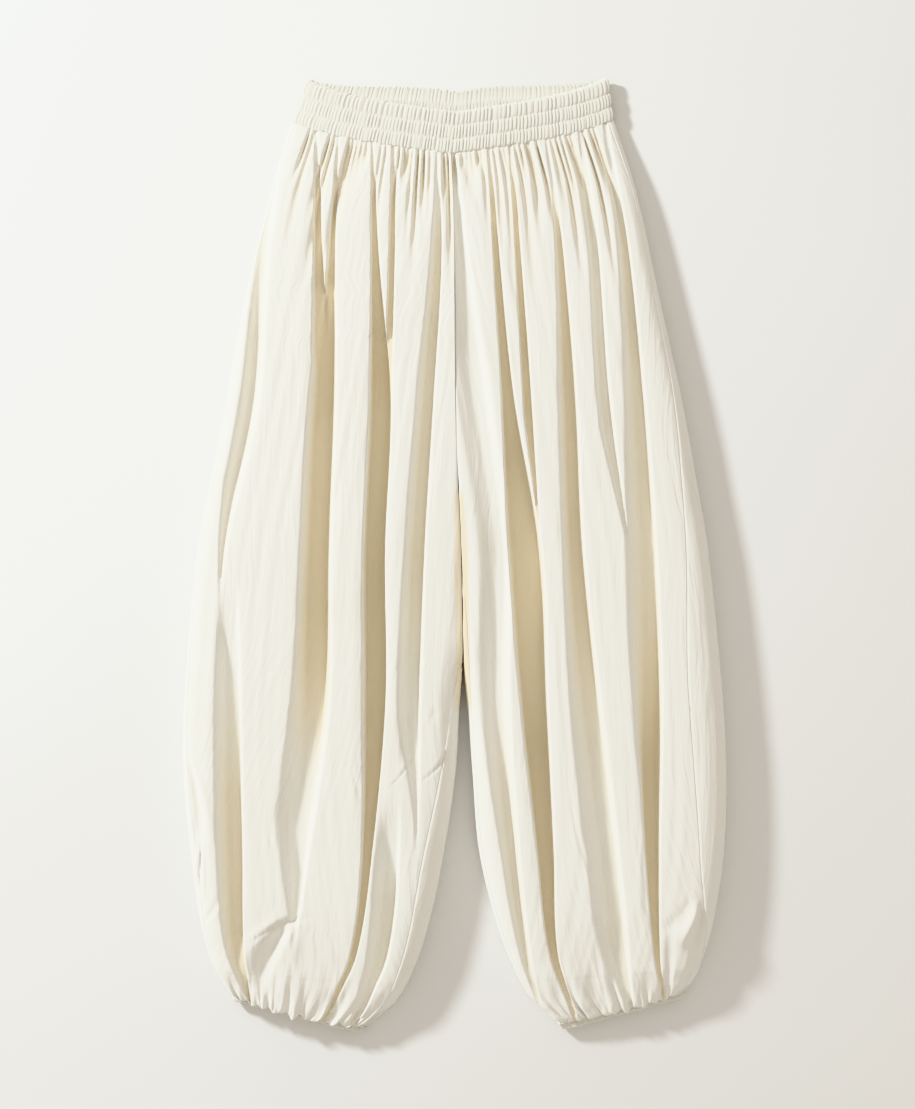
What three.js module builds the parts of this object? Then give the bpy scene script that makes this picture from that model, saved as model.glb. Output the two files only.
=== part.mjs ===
// Balloon trousers laid flat, front side up, on the plane z = 0. Millimetres, +Y towards the waist.
// Four gathered leg panels, a waistband with three elastic channels, and a narrow elastic casing at each
// ankle. The front panels are thrown into long folds over flat back panels, and the two lie on each other in
// the troughs.
import * as THREE from "three";

// Driving sizes
const clothWall = 1.5; // wall of the leg panels
const seamGap = 0.3; // clearance between pieces that are sewn together
const centreGap = 0.4; // clearance between left and right panels along the centre seams
const troughHeight = 3.6; // top of the front cloth where a trough touches the back
const legLength = 908; // from the waist seam to the ankle seam
const crotchDown = 346; // from the waist seam to the crotch
const crownPower = 4.5; // how square the crown of a leg's section is
const underCurl = 12; // how far in from the edge the back panel starts to curl up
const centreEdge = 4; // height of the front along the centre seam as it parts from the other leg
const inseamEdge = 11; // height of the rolled edge along the inseam
const backRise = 22; // the back waist sits higher than the front
const frontSag = 6; // how far the front waist seam hangs in its shallow V
const hemTaper = 60; // the troughs narrow and rise over this length above the ankle seam
const waistGather = { height: 1.5, fade: 45 }; // short gathers and the distance over which they die away
const ankleGather = { height: 1.8, fade: 28 };
const bandHeight = 42; // waistband, seam to top edge
const bandWall = 5.0; // elastic between two layers of gathered cloth
const bandDepth = 16; // waistband front to back as it lies
const bandTopLeftX = -156.5;
const bandTopRightX = 161.5;
const bandGathers = 80;
const channelCount = 3;
const channelBulge = 1.3; // how far an elastic channel stands out between its rows of stitching
const ribHeight = 0.8; // gathers on the waistband
const cuffHeight = 7.5; // ankle casing, seam to hem
const cuffWall = 1.8;
const cuffDepth = 14; // casing front to back as it lies
const cuffGathers = 14;
const cuffRib = 0.6; // gathers on the casing
const bandCorner = 0.28; // how square the ends of a flattened band are
const bandEndShare = 0.12; // share of a band's columns kept for its two tight ends

// Stations down each leg. down is the distance below the waist seam. outX, outY and inX, inY are the leg's
// outer and inner edges. crown is the height of the folds' tops, and outEdge that of the outer edge.
const stations = {
  left: [
    { down: 0, outX: -172, outY: 453.6, inX: -4, inY: 420, crown: 14, outEdge: 7 },
    { down: 60, outX: -193, outY: 381, inX: -2, inY: 371, crown: 23, outEdge: 9 },
    { down: 165, outX: -220.5, outY: 265.7, inX: 0, inY: 265.7, crown: 29, outEdge: 10 },
    { down: 273, outX: -240, outY: 160.7, inX: 1, inY: 160.7, crown: 32, outEdge: 11 },
    { down: 346, outX: -254, outY: 87, inX: 3, inY: 87, crown: 33.5, outEdge: 11 },
    { down: 430, outX: -270, outY: 3, inX: 4, inY: 3, crown: 35.5, outEdge: 11.5 },
    { down: 588, outX: -284, outY: -154, inX: 4.7, inY: -154, crown: 38.5, outEdge: 12 },
    { down: 667, outX: -284.5, outY: -233, inX: 0.6, inY: -233, crown: 39.5, outEdge: 12 },
    { down: 745, outX: -277, outY: -312, inX: -11, inY: -312, crown: 40, outEdge: 12 },
    { down: 814, outX: -268, outY: -380, inX: -25, inY: -380, crown: 39.5, outEdge: 11 },
    { down: 856, outX: -258, outY: -421, inX: -40, inY: -429, crown: 36, outEdge: 10 },
    { down: 887, outX: -247, outY: -446, inX: -61, inY: -469, crown: 30, outEdge: 9 },
    { down: 908, outX: -234, outY: -461, inX: -93, inY: -497.5, crown: 13.5, outEdge: 6.6 },
  ],
  right: [
    { down: 0, outX: 167, outY: 455.7, inX: -4, inY: 420, crown: 14, outEdge: 7 },
    { down: 60, outX: 190, outY: 381, inX: -2, inY: 371, crown: 23, outEdge: 9 },
    { down: 165, outX: 215, outY: 265.7, inX: 0, inY: 265.7, crown: 29, outEdge: 10 },
    { down: 273, outX: 238, outY: 160.7, inX: 1, inY: 160.7, crown: 32, outEdge: 11 },
    { down: 346, outX: 251.5, outY: 87, inX: 3, inY: 87, crown: 33.5, outEdge: 11 },
    { down: 430, outX: 265.5, outY: 3, inX: 9, inY: 3, crown: 35.5, outEdge: 11.5 },
    { down: 588, outX: 281, outY: -154, inX: 13, inY: -154, crown: 38.5, outEdge: 12 },
    { down: 667, outX: 284.5, outY: -233, inX: 18, inY: -233, crown: 39.5, outEdge: 12 },
    { down: 745, outX: 282, outY: -312, inX: 25, inY: -312, crown: 40, outEdge: 12 },
    { down: 814, outX: 272, outY: -380, inX: 41, inY: -380, crown: 39.5, outEdge: 11 },
    { down: 856, outX: 261.5, outY: -420, inX: 57, inY: -425, crown: 36, outEdge: 10 },
    { down: 887, outX: 253, outY: -443, inX: 78, inY: -465, crown: 30, outEdge: 9 },
    { down: 908, outX: 241, outY: -458, inX: 108, inY: -494, crown: 13.5, outEdge: 6.6 },
  ],
};

// Where the seams show on the front: how far in from each edge they lie.
const seams = {
  left: [
    { down: 0, outIn: 4, inIn: 0 },
    { down: 430, outIn: 4, inIn: 0 },
    { down: 540, outIn: 5, inIn: 0 },
    { down: 588, outIn: 6, inIn: 8 },
    { down: 745, outIn: 9, inIn: 21 },
    { down: 850, outIn: 5, inIn: 17 },
    { down: 908, outIn: 3, inIn: 9 },
  ],
  right: [
    { down: 0, outIn: 6, inIn: 0 },
    { down: 115, outIn: 5, inIn: 0 },
    { down: 273, outIn: 10, inIn: 0 },
    { down: 430, outIn: 25, inIn: 0 },
    { down: 588, outIn: 38, inIn: 4 },
    { down: 745, outIn: 28, inIn: 4 },
    { down: 850, outIn: 4, inIn: 4 },
    { down: 908, outIn: 3, inIn: 3 },
  ],
};

// Long folds. The columns from waist to hem give the trough's place at those levels, as a share of the width
// from the outer edge. from and to are where it starts and fades, deep and deepLow its depth above and below
// the knee as a share of the crown. The last four are its half width at the waist, thigh, calf and ankle.
const foldLevels = { waist: 0, hip: 115, thigh: 273, knee: 430, calf: 588, shin: 745, low: 850, hem: 908 };
const halfLevels = { halfWaist: 60, halfThigh: 300, halfCalf: 588, halfAnkle: 850 };
const folds = {
  left: [
    { waist: 0.046, hip: 0.04, thigh: 0.074, knee: 0.079, calf: 0.102, shin: 0.064, low: 0.053, hem: 0.05,
      from: 0, to: 500, deep: 0.22, deepLow: 0,
      halfWaist: 3.7, halfThigh: 6.6, halfCalf: 7.9, halfAnkle: 3.7 },
    { waist: 0.088, hip: 0.082, thigh: 0.116, knee: 0.135, calf: 0.173, shin: 0.17, low: 0.147, hem: 0.17,
      from: 500, to: 908, deep: 0.3, deepLow: 0.72,
      halfWaist: 2.6, halfThigh: 4.7, halfCalf: 10.5, halfAnkle: 7.4 },
    { waist: 0.16, hip: 0.314, thigh: 0.383, knee: 0.416, calf: 0.407, shin: 0.354, low: 0.243, hem: 0.215,
      from: 0, to: 280, deep: 0.85, deepLow: 0,
      halfWaist: 3.2, halfThigh: 8.7, halfCalf: 7.9, halfAnkle: 4.2 },
    { waist: 0.297, hip: 0.384, thigh: 0.425, knee: 0.458, calf: 0.449, shin: 0.396, low: 0.285, hem: 0.254,
      from: 0, to: 900, deep: 0.92, deepLow: 0.5,
      halfWaist: 2.4, halfThigh: 11.8, halfCalf: 18.9, halfAnkle: 12.6 },
    { waist: 0.51, hip: 0.6, thigh: 0.673, knee: 0.68, calf: 0.695, shin: 0.699, low: 0.692, hem: 0.677,
      from: 0, to: 908, deep: 0.95, deepLow: 0.92,
      halfWaist: 2.5, halfThigh: 10.5, halfCalf: 11, halfAnkle: 3.2 },
    { waist: 0.643, hip: 0.688, thigh: 0.715, knee: 0.722, calf: 0.737, shin: 0.741, low: 0.734, hem: 0.719,
      from: 0, to: 235, deep: 0.85, deepLow: 0,
      halfWaist: 2.5, halfThigh: 4.8, halfCalf: 5.2, halfAnkle: 2.4 },
    { waist: 0.818, hip: 0.837, thigh: 0.769, knee: 0.769, calf: 0.779, shin: 0.785, low: 0.815, hem: 0.898,
      from: 680, to: 908, deep: 0, deepLow: 0.5,
      halfWaist: 2.4, halfThigh: 3.2, halfCalf: 5.2, halfAnkle: 8.4 },
    { waist: 0.911, hip: 0.903, thigh: 0.859, knee: 0.836, calf: 0.826, shin: 0.88, low: 0.881, hem: 0.918,
      from: 0, to: 770, deep: 0.64, deepLow: 0.42,
      halfWaist: 2.7, halfThigh: 7.1, halfCalf: 8.9, halfAnkle: 2.6 },
  ],
  right: [
    { waist: 0.055, hip: 0.055, thigh: 0.072, knee: 0.13, calf: 0.172, shin: 0.139, low: 0.065, hem: 0.079,
      from: 810, to: 908, deep: 0, deepLow: 0.5,
      halfWaist: 2.4, halfThigh: 2.4, halfCalf: 3.2, halfAnkle: 4.7 },
    { waist: 0.087, hip: 0.128, thigh: 0.205, knee: 0.265, calf: 0.292, shin: 0.299, low: 0.254, hem: 0.176,
      from: 0, to: 908, deep: 0.66, deepLow: 0.85,
      halfWaist: 3.5, halfThigh: 8.5, halfCalf: 11.6, halfAnkle: 3.2 },
    { waist: 0.209, hip: 0.283, thigh: 0.346, knee: 0.351, calf: 0.335, shin: 0.341, low: 0.297, hem: 0.265,
      from: 0, to: 440, deep: 0.62, deepLow: 0,
      halfWaist: 3.5, halfThigh: 5.9, halfCalf: 3.2, halfAnkle: 2.4 },
    { waist: 0.416, hip: 0.459, thigh: 0.504, knee: 0.548, calf: 0.533, shin: 0.489, low: 0.451, hem: 0.43,
      from: 0, to: 908, deep: 0.76, deepLow: 0.52,
      halfWaist: 2.4, halfThigh: 7.5, halfCalf: 12.1, halfAnkle: 10.5 },
    { waist: 0.458, hip: 0.501, thigh: 0.546, knee: 0.59, calf: 0.575, shin: 0.546, low: 0.554, hem: 0.612,
      from: 820, to: 908, deep: 0, deepLow: 0.45,
      halfWaist: 2.4, halfThigh: 2.4, halfCalf: 2.4, halfAnkle: 2.6 },
    { waist: 0.639, hip: 0.672, thigh: 0.685, knee: 0.711, calf: 0.699, shin: 0.688, low: 0.727, hem: 0.819,
      from: 0, to: 330, deep: 0.9, deepLow: 0,
      halfWaist: 2.5, halfThigh: 4.4, halfCalf: 6.8, halfAnkle: 2.6 },
    { waist: 0.769, hip: 0.784, thigh: 0.769, knee: 0.753, calf: 0.741, shin: 0.73, low: 0.769, hem: 0.861,
      from: 0, to: 908, deep: 0.92, deepLow: 0.92,
      halfWaist: 2.5, halfThigh: 7.9, halfCalf: 13.1, halfAnkle: 4.2 },
    { waist: 0.96, hip: 0.96, thigh: 0.902, knee: 0.859, calf: 0.884, shin: 0.871, low: 0.91, hem: 0.938,
      from: 0, to: 908, deep: 0.35, deepLow: 0.6,
      halfWaist: 4, halfThigh: 13, halfCalf: 9.5, halfAnkle: 4.2 },
  ],
};

// Levels of the panels' cross rows, closer together at the waist and at the ankle. Front and back share
// them, so the walls on the two sides of a seam run alike.
const rowLevels = [
  0, 7, 18, 34, 58, 90, 130, 175, 225, 273, 315, crotchDown, 375, 410, 455, 505, 555, 605, 655, 705, 750,
  790, 822, 850, 870, 886, 898, legLength,
];

const clamp01 = (value) => Math.min(1, Math.max(0, value));
const mix = (a, b, share) => a + (b - a) * share;
const smooth = (value) => clamp01(value) ** 2 * (3 - 2 * clamp01(value));
const ramp = (value, start, end) => smooth((value - start) / (end - start));

// A smooth curve through a table's column, by the table's own levels.
function readColumn(levels, values, at) {
  const last = levels.length - 1;
  let i = 0;
  while (i < last - 1 && at > levels[i + 1]) i += 1;
  const span = levels[i + 1] - levels[i];
  const share = clamp01((at - levels[i]) / span);
  const slope = (j) => {
    const low = Math.max(0, j - 1);
    const high = Math.min(last, j + 1);
    return (values[high] - values[low]) / (levels[high] - levels[low]);
  };
  const square = share * share;
  const cube = square * share;
  return (
    values[i] * (2 * cube - 3 * square + 1) +
    values[i + 1] * (3 * square - 2 * cube) +
    slope(i) * span * (cube - 2 * square + share) +
    slope(i + 1) * span * (cube - square)
  );
}

const readTable = (rows, key, down) =>
  readColumn(rows.map((row) => row.down), rows.map((row) => row[key]), down);

// Reads a row's columns at the levels named for them.
const readRow = (row, levels, down) =>
  readColumn(Object.values(levels), Object.keys(levels).map((level) => row[level]), down);

// One fold at one level: its place across, its half width and its depth.
function foldOf(fold, down) {
  const startLength = 120;
  const fadeLength = 140;
  const shown = mix(ramp(down, fold.from - 1, fold.from + startLength), 1, fold.from === 0 ? 0.5 : 0);
  const fades = fold.to >= legLength ? 1 : 1 - ramp(down, fold.to - fadeLength, fold.to);
  const drawnIn = mix(0.5, 1, ramp(legLength - down, 0, hemTaper));
  const depth = mix(fold.deep, fold.deepLow, ramp(down, foldLevels.knee, foldLevels.shin));
  return {
    at: readRow(fold, foldLevels, down),
    half: readRow(fold, halfLevels, down) * mix(0.4, 1, fades) * drawnIn,
    depth: depth * shown * fades * drawnIn,
  };
}

// The measures of one leg at one level.
function levelOf(side, down) {
  const read = (key) => readTable(stations[side], key, down);
  const outward = side === "left" ? -1 : 1;
  const level = {
    outX: read("outX"),
    outY: read("outY"),
    inX: read("inX") + (outward * centreGap) / 2,
    inY: read("inY"),
    crown: read("crown"),
    outEdge: read("outEdge"),
  };
  level.width = Math.hypot(level.inX - level.outX, level.inY - level.outY);
  level.inEdge = mix(centreEdge, inseamEdge, ramp(down, crotchDown, crotchDown + 80));
  level.inEdge *= mix(1, 0.6, ramp(down, halfLevels.halfAnkle, legLength));
  level.openCentre = 1 - ramp(down, 150, crotchDown); // 1 where the two fronts run on into each other
  level.underCurl = ramp(down, crotchDown, crotchDown + 28); // 0 where the two backs run on into each other
  level.backRise = backRise * (1 - ramp(down, 0, 150));
  level.frontSag = frontSag * (1 - ramp(down, 0, 60));
  level.folds = folds[side].map((fold) => foldOf(fold, down));
  return level;
}

// The share of the width at a place round the leg. place runs 0 to 1 over the top from the outer edge to the
// inner one, and 1 to 2 back along the underside.
const shareAt = (place) => (1 - Math.cos(Math.PI * place)) / 2;
const placeAt = (share) => Math.acos(1 - 2 * clamp01(share)) / Math.PI;

// The height of the front cloth.
function topHeight(level, share) {
  const crownShape = Math.sqrt(Math.max(0, 1 - Math.abs(1 - 2 * share) ** crownPower));
  const edge = share < 0.5 ? level.outEdge : level.inEdge;
  const closed = share < 0.5 ? 1 : 1 - level.openCentre;
  const plain = edge + (level.crown - edge) * (1 - closed * (1 - crownShape));
  const lowest = Math.min(troughHeight, plain);
  const kept = level.folds.reduce((product, fold) => {
    const away = Math.abs(share - fold.at) * level.width;
    const dip = 1 - ramp(away / fold.half, 0.2, 1.1);
    return product * (1 - fold.depth * dip);
  }, 1);
  return lowest + (plain - lowest) * kept;
}

// The height of the back cloth, flat but for its curled edges.
function underHeight(level, share) {
  const fromOut = share * level.width;
  const fromIn = (1 - share) * level.width;
  const curl = (distance) => 1 - Math.sqrt(1 - clamp01(1 - distance / underCurl) ** 2);
  return level.outEdge * curl(fromOut) + level.underCurl * level.inEdge * curl(fromIn);
}

function legPoint(level, place) {
  const round = ((place % 2) + 2) % 2;
  const share = shareAt(round);
  const onTop = round <= 1;
  const x = mix(level.outX, level.inX, share);
  const height = onTop ? topHeight(level, share) : underHeight(level, share);
  return new THREE.Vector3(x, lineY(level, share, onTop), height);
}

// How far up the garment a level's line runs on the front or on the back.
function lineY(level, share, onTop) {
  const y = mix(level.outY, level.inY, share);
  if (onTop) return y - level.frontSag * Math.sin(Math.PI * share ** 0.65);
  return y + level.backRise * smooth(share);
}

// The place that lies a distance further round the leg.
function stepRound(level, place, distance) {
  const nudge = 1e-5 * Math.sign(distance);
  const from = legPoint(level, place + nudge);
  let near = 0;
  let far = 0.3 * Math.sign(distance);
  for (let i = 0; i < 30; i += 1) {
    const half = (near + far) / 2;
    if (legPoint(level, place + half).distanceTo(from) < Math.abs(distance)) near = half;
    else far = half;
  }
  return place + far;
}

// Small gathers where the panel is drawn in, a ridge on every second column.
function gatherHeight(down, column) {
  const atWaist = waistGather.height * Math.exp(-down / waistGather.fade);
  const atAnkle = ankleGather.height * Math.exp(-(legLength - down) / ankleGather.fade);
  return (column % 2 === 0 ? 1 : -0.6) * (atWaist + atAnkle);
}

// A closed wall on a grid of outer points, grown inwards along the grid's own normals. edges holds, for each
// row, the directions across its first and last column, shared with the panel beyond the seam.
function wallSolid(grid, edges, thickness, facing) {
  const rows = grid.length;
  const columns = grid[0].length;
  const pick = (r, c) => grid[Math.min(rows - 1, Math.max(0, r))][Math.min(columns - 1, Math.max(0, c))];
  const inner = grid.map((row, r) =>
    row.map((point, c) => {
      let across = pick(r, c + 1).clone().sub(pick(r, c - 1));
      if (c === 0) across = edges[r].first.clone();
      if (c === columns - 1) across = edges[r].last.clone();
      const along = pick(r + 1, c).clone().sub(pick(r - 1, c));
      const normal = across.cross(along).multiplyScalar(facing).normalize();
      return point.clone().addScaledVector(normal, -thickness);
    }),
  );
  const points = [...grid.flat(), ...inner.flat()];
  const indices = [];
  const quad = (a, b, c, d) => {
    if (facing > 0) indices.push(a, b, c, a, c, d);
    else indices.push(a, c, b, a, d, c);
  };
  const lastRow = rows - 1;
  const lastColumn = columns - 1;
  const outerAt = (r, c) => r * columns + c;
  const innerAt = (r, c) => rows * columns + r * columns + c;
  for (let r = 0; r < lastRow; r += 1) {
    for (let c = 0; c < lastColumn; c += 1) {
      quad(outerAt(r, c), outerAt(r, c + 1), outerAt(r + 1, c + 1), outerAt(r + 1, c));
      quad(innerAt(r, c), innerAt(r + 1, c), innerAt(r + 1, c + 1), innerAt(r, c + 1));
    }
    const c = lastColumn;
    quad(outerAt(r, 0), outerAt(r + 1, 0), innerAt(r + 1, 0), innerAt(r, 0));
    quad(outerAt(r + 1, c), outerAt(r, c), innerAt(r, c), innerAt(r + 1, c));
  }
  for (let c = 0; c < lastColumn; c += 1) {
    quad(outerAt(0, c + 1), outerAt(0, c), innerAt(0, c), innerAt(0, c + 1));
    quad(outerAt(lastRow, c), outerAt(lastRow, c + 1), innerAt(lastRow, c + 1), innerAt(lastRow, c));
  }
  return geometryOf(points, indices);
}

// A closed tube of wall: rings of points round the garment, each ring a closed profile of the wall.
function ringSolid(rings, facing) {
  const count = rings.length;
  const size = rings[0].length;
  const indices = [];
  for (let i = 0; i < count; i += 1) {
    for (let j = 0; j < size; j += 1) {
      const a = i * size + j;
      const b = i * size + ((j + 1) % size);
      const c = ((i + 1) % count) * size + ((j + 1) % size);
      const d = ((i + 1) % count) * size + j;
      if (facing > 0) indices.push(a, b, c, a, c, d);
      else indices.push(a, c, b, a, d, c);
    }
  }
  return geometryOf(rings.flat(), indices);
}

function geometryOf(points, indices) {
  const geometry = new THREE.BufferGeometry().setFromPoints(points);
  geometry.setIndex(indices);
  geometry.computeVertexNormals();
  return geometry;
}

function seamPlaces(side, level, down) {
  const read = (key) => readTable(seams[side], key, down) / level.width;
  return { start: placeAt(read("outIn")), end: 1 - placeAt(read("inIn")) };
}

// The direction round the leg at a place. Above the crotch the centre seams run straight across.
function directionAt(level, down, place) {
  const probe = 0.012;
  const atCentre = Math.abs(place - 1) < 0.1;
  if (atCentre && down <= crotchDown) return new THREE.Vector3(level.inX - level.outX, 0, 0);
  return legPoint(level, place + probe).sub(legPoint(level, place - probe));
}

// Column lines follow the folds, so each trough, its two top edges and the ridge beyond it keep their own
// lines of points from waist to hem.
function frontPanel(side) {
  const topEdge = 1.15; // where a trough's side meets its ridge, in half widths
  const mostOfSpan = 0.38;
  const edges = [];
  const grid = rowLevels.map((down) => {
    const level = levelOf(side, down);
    const seam = seamPlaces(side, level, down);
    edges.push({ first: directionAt(level, down, seam.start), last: directionAt(level, down, seam.end) });
    const start = stepRound(level, seam.start, seamGap / 2);
    const end = stepRound(level, seam.end, -seamGap / 2);
    const knots = [{ at: shareAt(start), half: 0 }, ...level.folds, { at: shareAt(end), half: 0 }];
    const places = [];
    for (let k = 0; k < knots.length - 1; k += 1) {
      const span = knots[k + 1].at - knots[k].at;
      const flankOf = (knot) => {
        const wide = knot.half > 0 ? (topEdge * knot.half) / level.width : span / 4;
        return Math.min(wide, mostOfSpan * span);
      };
      const flanks = [flankOf(knots[k]), span - flankOf(knots[k + 1])];
      const steps = [0, flanks[0], (flanks[0] + flanks[1]) / 2, flanks[1]];
      places.push(...steps.map((step) => placeAt(knots[k].at + step)));
    }
    places[0] = start;
    places.push(end);
    return places.map((place, column) => {
      const point = legPoint(level, place);
      const inside = column > 1 && column < places.length - 2;
      const raised = Math.min(1, Math.max(0, point.z - troughHeight) / 6);
      const awayFromSeams = Math.sin(Math.PI * shareAt(place)) ** 0.3;
      if (inside) point.z += gatherHeight(down, column) * raised * awayFromSeams;
      return point;
    });
  });
  return wallSolid(grid, edges, clothWall, side === "left" ? -1 : 1);
}

function backPanel(side) {
  const flatShares = [0.16, 0.34, 0.54, 0.74, 0.87];
  const edges = [];
  const grid = rowLevels.map((down) => {
    const level = levelOf(side, down);
    const seam = seamPlaces(side, level, down);
    const first = directionAt(level, down, seam.end);
    if (down <= crotchDown) first.negate();
    edges.push({ first, last: directionAt(level, down, seam.start) });
    const start = stepRound(level, seam.end, seamGap / 2);
    const end = 2 + stepRound(level, seam.start, -seamGap / 2);
    const innerTurn = Math.max(1, stepRound(level, start, 1.5));
    const innerFlat = 1 + placeAt(underCurl / level.width);
    const outerFlat = 2 - placeAt(underCurl / level.width);
    const places = [start, mix(start, innerTurn, 0.5)];
    for (let step = 0; step < 3; step += 1) places.push(mix(innerTurn, innerFlat, step / 3));
    places.push(innerFlat, ...flatShares.map((share) => 1 + placeAt(share)), outerFlat);
    for (let step = 1; step < 4; step += 1) places.push(mix(outerFlat, 2, step / 4));
    places.push(2, mix(2, end, 0.33), mix(2, end, 0.66), end);
    return places.map((place) => legPoint(level, place));
  });
  return wallSolid(grid, edges, clothWall, side === "left" ? -1 : 1);
}

// The flattened loop of an elastic band: a place 0 to 1 over the front and 1 to 2 back underneath.
function bandLoop(place, depth) {
  const angle = Math.PI * place;
  const share = (1 - Math.cos(angle)) / 2;
  const squash = Math.sign(Math.sin(angle)) * Math.abs(Math.sin(angle)) ** bandCorner;
  return { share, height: (depth / 2) * (1 + squash), front: place <= 1 };
}

// Spreads places evenly along the band's length but keeps some in each tight turn.
function bandPlace(turn) {
  const half = turn % 1;
  const even = placeAt(half);
  return Math.floor(turn) + mix(even, half, bandEndShare);
}

// The direction out of a band's face at a place, as its parts across and up.
function bandNormal(place, length, depth) {
  const probe = 0.004;
  const before = bandLoop(place - probe, depth);
  const after = bandLoop(place + probe, depth);
  const normal = new THREE.Vector2(before.height - after.height, (after.share - before.share) * length);
  return normal.normalize();
}

function waistband() {
  const left = levelOf("left", 0);
  const right = levelOf("right", 0);
  const columns = bandGathers * 2;
  const profileSteps = channelCount * 2;
  const seamY = (x, front) => {
    const level = x < (left.inX + right.inX) / 2 ? left : right;
    return lineY(level, clamp01((x - level.outX) / (level.inX - level.outX)), front);
  };
  const rings = [];
  for (let i = 0; i < columns; i += 1) {
    const place = bandPlace((2 * i) / columns);
    const loop = bandLoop(place, bandDepth);
    const normal = bandNormal(place, right.outX - left.outX, bandDepth);
    const lowX = mix(left.outX, right.outX, loop.share);
    const lowY = seamY(lowX, loop.front);
    const at = (rise, depthIn) => {
      const share = rise / bandHeight;
      const leftX = mix(left.outX, bandTopLeftX, share);
      const rightX = mix(right.outX, bandTopRightX, share);
      const x = mix(leftX, rightX, loop.share) - normal.x * depthIn;
      return new THREE.Vector3(x, lowY + seamGap + rise, loop.height - normal.y * depthIn);
    };
    const rib = i % 2 === 0 ? 0 : ribHeight;
    const outside = [];
    for (let step = 0; step <= profileSteps; step += 1) {
      const onChannel = step % 2 === 1;
      outside.push(at((bandHeight * step) / profileSteps, onChannel ? rib : channelBulge));
    }
    const wall = bandWall + channelBulge;
    const inside = [at(bandHeight, wall), at(bandHeight / 2, wall), at(0, wall)];
    rings.push([...outside, ...inside]);
  }
  return ringSolid(rings, -1);
}

function cuff(side) {
  const hem = stations[side][stations[side].length - 1];
  const outPoint = new THREE.Vector2(hem.outX, hem.outY);
  const inPoint = new THREE.Vector2(hem.inX, hem.inY);
  const across = inPoint.clone().sub(outPoint);
  const downward = new THREE.Vector2(across.y, -across.x).normalize();
  if (downward.y > 0) downward.negate();
  const columns = cuffGathers * 4;
  const rings = [];
  for (let i = 0; i < columns; i += 1) {
    const place = bandPlace((2 * i) / columns);
    const loop = bandLoop(place, cuffDepth);
    const normal = bandNormal(place, across.length(), cuffDepth);
    const rib = i % 4 < 2 ? 0 : cuffRib;
    const at = (drop, depthIn) => {
      const share = loop.share - (normal.x * depthIn) / across.length();
      const base = outPoint.clone().addScaledVector(across, share);
      base.addScaledVector(downward, seamGap + drop);
      return new THREE.Vector3(base.x, base.y, loop.height - normal.y * depthIn);
    };
    rings.push([
      at(0, cuffRib), at(cuffHeight / 2, rib), at(cuffHeight, cuffRib),
      at(cuffHeight, cuffWall + cuffRib), at(0, cuffWall + cuffRib),
    ]);
  }
  return ringSolid(rings, side === "left" ? 1 : -1);
}

const ivoryCloth = new THREE.MeshStandardMaterial({ color: 0xf1eddc, roughness: 0.78, metalness: 0 });
const ivoryBand = new THREE.MeshStandardMaterial({ color: 0xefecdd, roughness: 0.82, metalness: 0 });

function piece(name, geometry, material) {
  const mesh = new THREE.Mesh(geometry, material);
  mesh.name = name;
  return mesh;
}

const trousers = new THREE.Group();
for (const side of ["left", "right"]) {
  trousers.add(piece(`front_panel_${side}`, frontPanel(side), ivoryCloth));
  trousers.add(piece(`back_panel_${side}`, backPanel(side), ivoryCloth));
  trousers.add(piece(`ankle_casing_${side}`, cuff(side), ivoryBand));
}
trousers.add(piece("waistband", waistband(), ivoryBand));

// The origin is under the middle of the garment.
const box = new THREE.Box3().setFromObject(trousers);
const middle = box.getCenter(new THREE.Vector3());
trousers.position.set(-middle.x, -middle.y, -box.min.z);

export default trousers;
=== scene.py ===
import math
from types import SimpleNamespace

import bpy
import numpy as np
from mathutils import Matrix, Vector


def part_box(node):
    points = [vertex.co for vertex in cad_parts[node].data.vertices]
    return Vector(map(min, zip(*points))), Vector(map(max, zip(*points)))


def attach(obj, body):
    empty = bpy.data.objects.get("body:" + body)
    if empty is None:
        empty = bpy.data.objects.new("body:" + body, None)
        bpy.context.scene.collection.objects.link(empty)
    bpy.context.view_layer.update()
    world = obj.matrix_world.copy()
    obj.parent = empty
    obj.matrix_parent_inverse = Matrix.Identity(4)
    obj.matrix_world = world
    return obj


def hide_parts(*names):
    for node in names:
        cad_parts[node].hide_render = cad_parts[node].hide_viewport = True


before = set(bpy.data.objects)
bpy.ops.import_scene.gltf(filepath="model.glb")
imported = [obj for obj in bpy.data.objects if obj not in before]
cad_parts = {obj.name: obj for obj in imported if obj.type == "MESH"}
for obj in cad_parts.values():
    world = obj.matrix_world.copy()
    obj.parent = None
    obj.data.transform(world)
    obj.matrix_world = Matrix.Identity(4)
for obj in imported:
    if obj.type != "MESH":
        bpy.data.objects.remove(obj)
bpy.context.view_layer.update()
bpy.ops.object.select_all(action="DESELECT")

# The camera looks straight down on the garment, which is laid out flat. The photo is 1109 pixels high, and
# one of them is 1.05 mm at the height of the garment's edges.
photo_height = 1109
metres_per_pixel = 0.00105
edge_height = 0.01
camera_height = 2.2
photo_middle = (0.0026, 0.0019)
bpy.ops.object.camera_add(location=(*photo_middle, camera_height), rotation=(0, 0, 0))
camera = bpy.context.object
camera.name = "camera"
camera.data.sensor_width = 36
view_length = photo_height * metres_per_pixel
camera.data.lens = camera.data.sensor_width * (camera_height - edge_height) / view_length
bpy.context.scene.camera = camera

# The floor is a plain, pale, matt board, a little uneven in tone.
floor_size = 9.0
floor_drop = 0.0003
bpy.ops.mesh.primitive_plane_add(size=floor_size, location=(0, 0, -floor_drop))
floor = bpy.context.object
floor.name = "floor"


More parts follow.
